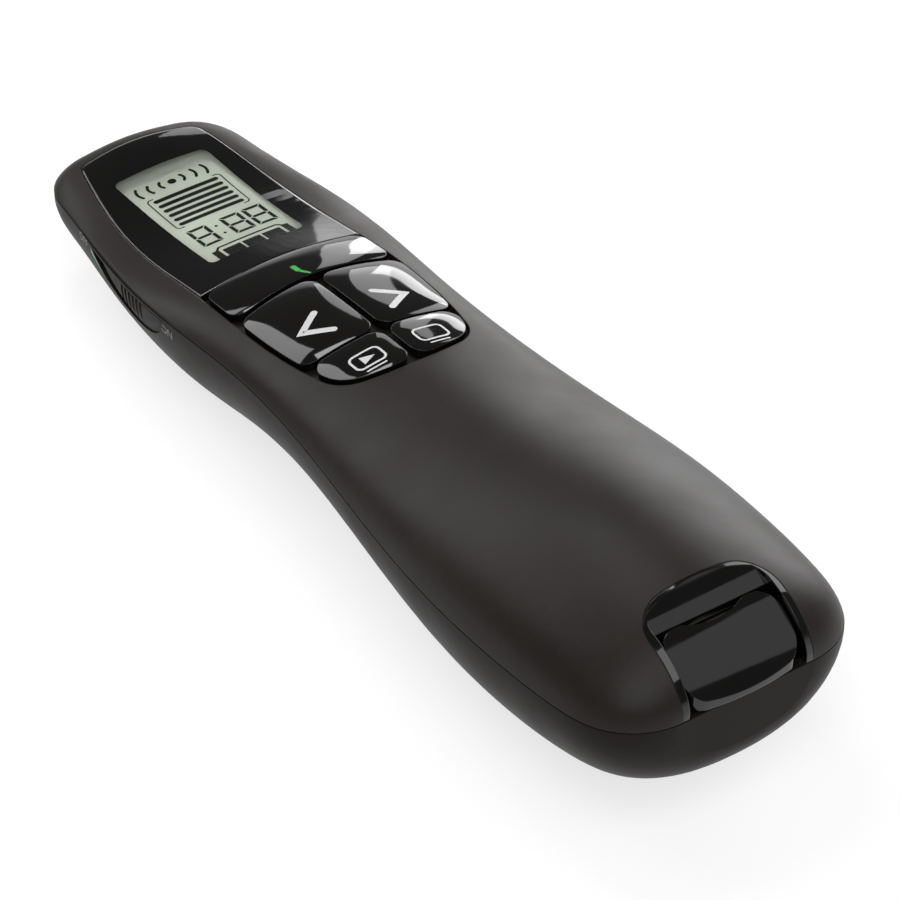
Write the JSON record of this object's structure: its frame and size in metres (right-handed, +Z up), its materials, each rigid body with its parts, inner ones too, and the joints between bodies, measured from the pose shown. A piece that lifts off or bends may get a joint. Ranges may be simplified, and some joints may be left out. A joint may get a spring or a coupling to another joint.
{
  "type": "wireless presentation clicker",
  "caption": "Handheld presentation remote with timer display, laser and slide keys, side power slider, battery door and a radio receiver stowed in its tail.",
  "frame": {"origin": "middle of the footprint, on the surface that the clicker rests on", "axes": "+Y from the tail with the receiver to the nose with the laser, +X to the right hand side, +Z up out of the keys"},
  "size_m": [0.0386, 0.13, 0.0266],
  "materials": {
    "soft_touch_top": "soft-touch paint, matte",
    "soft_touch_base": "soft-touch paint, matte",
    "lens_black": "gloss acrylic, back printed",
    "key_black": "gloss moulded plastic",
    "display_grey": "reflective display cell",
    "white_plastic": "moulded, satin",
    "contact_rubber": "striped contact rubber",
    "board_green": "solder resist",
    "screw_steel": "zinc plated",
    "chip_black": "moulded resin",
    "can_steel": "pressed can",
    "laser_brass": "turned",
    "clear_glass": "clear",
    "weight_steel": "sintered",
    "cell_jacket": "printed jacket",
    "contact_nickel": "nickel plated",
    "contact_gold": "gold flash",
    "indicator_green": "moulded, gloss"
  },
  "bodies": {
    "housing": {"top_cover": "soft_touch_top", "bottom_cover": "soft_touch_base", "display_lens": "lens_black", "display_glass": "display_grey", "display_frame": "white_plastic", "display_connector": "contact_rubber", "main_board": "board_green", "board_screws": "screw_steel", "case_screws": "screw_steel", "controller_chip": "chip_black", "radio_chip": "chip_black", "board_crystal": "can_steel", "board_capacitors": "chip_black", "key_switches": "chip_black", "timer_switches": "chip_black", "slide_switch": "can_steel", "power_indicator": "indicator_green", "laser_module": "laser_brass", "laser_window": "clear_glass", "laser_ring": "key_black", "vibration_motor": "can_steel", "battery_left": "cell_jacket", "battery_right": "cell_jacket", "spring_contacts": "contact_nickel", "plate_contacts": "contact_nickel", "bay_liner": "key_black"},
    "laser_button": {"laser_button": "key_black"},
    "back_button": {"back_button": "key_black"},
    "forward_button": {"forward_button": "key_black"},
    "slideshow_button": {"slideshow_button": "key_black"},
    "blank_button": {"blank_button": "key_black"},
    "start_button": {"start_button": "key_black"},
    "plus_button": {"plus_button": "key_black"},
    "minus_button": {"minus_button": "key_black"},
    "power_slider": {"power_slider": "key_black", "switch_lever": "chip_black"},
    "battery_door": {"battery_door": "soft_touch_base"},
    "receiver": {"receiver_cap": "key_black", "plug_shell": "contact_nickel", "receiver_board": "board_green", "plug_contacts": "contact_gold"},
    "vibration_weight": {"vibration_weight": "weight_steel", "motor_shaft": "can_steel"}
  },
  "joints": [
    {"name": "laser_button_press", "type": "slide", "parent": "housing", "child": "laser_button", "axis": [0, 0, -1], "range_m": [0, 0.00045], "stiffness_N_per_m": 2500, "springref_m": -0.0003},
    {"name": "back_button_press", "type": "slide", "parent": "housing", "child": "back_button", "axis": [0, 0, -1], "range_m": [0, 0.00045], "stiffness_N_per_m": 2500, "springref_m": -0.0003},
    {"name": "forward_button_press", "type": "slide", "parent": "housing", "child": "forward_button", "axis": [0, 0, -1], "range_m": [0, 0.00045], "stiffness_N_per_m": 2500, "springref_m": -0.0003},
    {"name": "slideshow_button_press", "type": "slide", "parent": "housing", "child": "slideshow_button", "axis": [0, 0, -1], "range_m": [0, 0.00045], "stiffness_N_per_m": 2500, "springref_m": -0.0003},
    {"name": "blank_button_press", "type": "slide", "parent": "housing", "child": "blank_button", "axis": [0, 0, -1], "range_m": [0, 0.00045], "stiffness_N_per_m": 2500, "springref_m": -0.0003},
    {"name": "start_button_press", "type": "slide", "parent": "housing", "child": "start_button", "axis": [-1, 0, 0], "range_m": [0, 0.00035], "stiffness_N_per_m": 2500, "springref_m": -0.0003},
    {"name": "plus_button_press", "type": "slide", "parent": "housing", "child": "plus_button", "axis": [-1, 0, 0], "range_m": [0, 0.00035], "stiffness_N_per_m": 2500, "springref_m": -0.0003},
    {"name": "minus_button_press", "type": "slide", "parent": "housing", "child": "minus_button", "axis": [-1, 0, 0], "range_m": [0, 0.00035], "stiffness_N_per_m": 2500, "springref_m": -0.0003},
    {"name": "power_slide", "type": "slide", "parent": "housing", "child": "power_slider", "axis": [0, 1, 0], "range_m": [0, 0.003]},
    {"name": "battery_door_swing", "type": "hinge", "parent": "housing", "child": "battery_door", "pos_m": [0, 0.0054, 0.0027], "axis": [1, 0, 0], "range_deg": [0, 30]},
    {"name": "receiver_slide", "type": "slide", "parent": "housing", "child": "receiver", "axis": [0, -1, 0], "range_m": [0, 0.02]},
    {"name": "vibration_spin", "type": "hinge", "parent": "housing", "child": "vibration_weight", "pos_m": [0, 0.0255, 0.0061], "axis": [0, 1, 0], "continuous": true}
  ]
}
